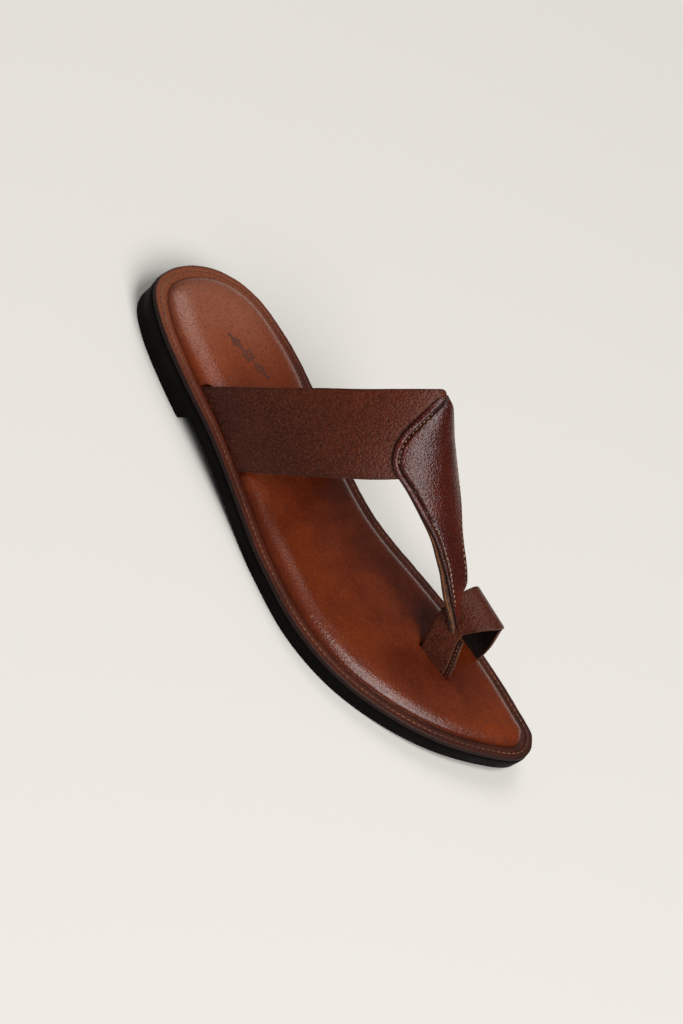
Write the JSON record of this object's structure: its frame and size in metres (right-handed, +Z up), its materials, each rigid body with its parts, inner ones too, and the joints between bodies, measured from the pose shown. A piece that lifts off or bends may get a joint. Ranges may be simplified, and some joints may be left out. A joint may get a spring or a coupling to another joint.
{
  "type": "sandal",
  "caption": "Open leather sandal with a wide instep band, a leaf-shaped centre strap, a big-toe ring, a cushioned footbed and a low heel.",
  "frame": {"origin": "on the ground under the middle of the sandal's plan bounding box", "axes": "+X from heel to toe, +Y to the inner (big-toe) side, +Z up"},
  "size_m": [0.2832, 0.1054, 0.1012],
  "materials": {
    "sole_rubber": "satin black",
    "rim_leather": "waxed brown",
    "pad_leather": "burnished tan brown",
    "band_leather": "dark brown, fine pebble",
    "overlay_leather": "glossy red-brown"
  },
  "bodies": {
    "root": {"outsole": "sole_rubber", "heel_block": "sole_rubber", "footbed_rim": "rim_leather", "footbed_pad": "pad_leather", "upper": "band_leather", "centre_overlay": "overlay_leather"}
  },
  "joints": []
}
